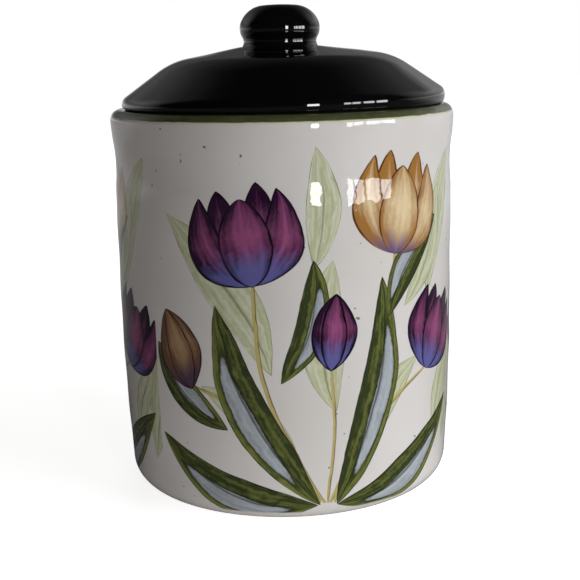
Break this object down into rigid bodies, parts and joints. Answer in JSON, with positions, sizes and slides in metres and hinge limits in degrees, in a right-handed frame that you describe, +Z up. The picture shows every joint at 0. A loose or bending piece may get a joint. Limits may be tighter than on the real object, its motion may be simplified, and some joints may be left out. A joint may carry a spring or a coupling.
{
  "type": "lidded jar",
  "caption": "Round ceramic jar for olives with a rounded heel, a domed lid, a waisted knob on top and a ribbed seal that fits inside the mouth.",
  "frame": {"origin": "centre of the jar's foot, on the surface that it stands on", "axes": "+Z up along the axis of the jar, its lid and its knob; -Y faces the viewer of the picture"},
  "size_m": [0.165, 0.165, 0.231],
  "materials": {
    "cream_glaze": "glossy warm off-white glaze with painted decoration and an olive-green rim",
    "black_glaze": "high-gloss black glaze",
    "knob_glaze": "high-gloss black glaze",
    "seal_silicone": "matt translucent silicone"
  },
  "bodies": {
    "jar": {"jar": "cream_glaze"},
    "lid": {"lid": "black_glaze", "lid_knob": "knob_glaze", "lid_seal": "seal_silicone"}
  },
  "joints": [
    {"name": "lid_lift", "type": "slide", "parent": "jar", "child": "lid", "axis": [0, 0, 1], "range_m": [0, 0.08]}
  ]
}
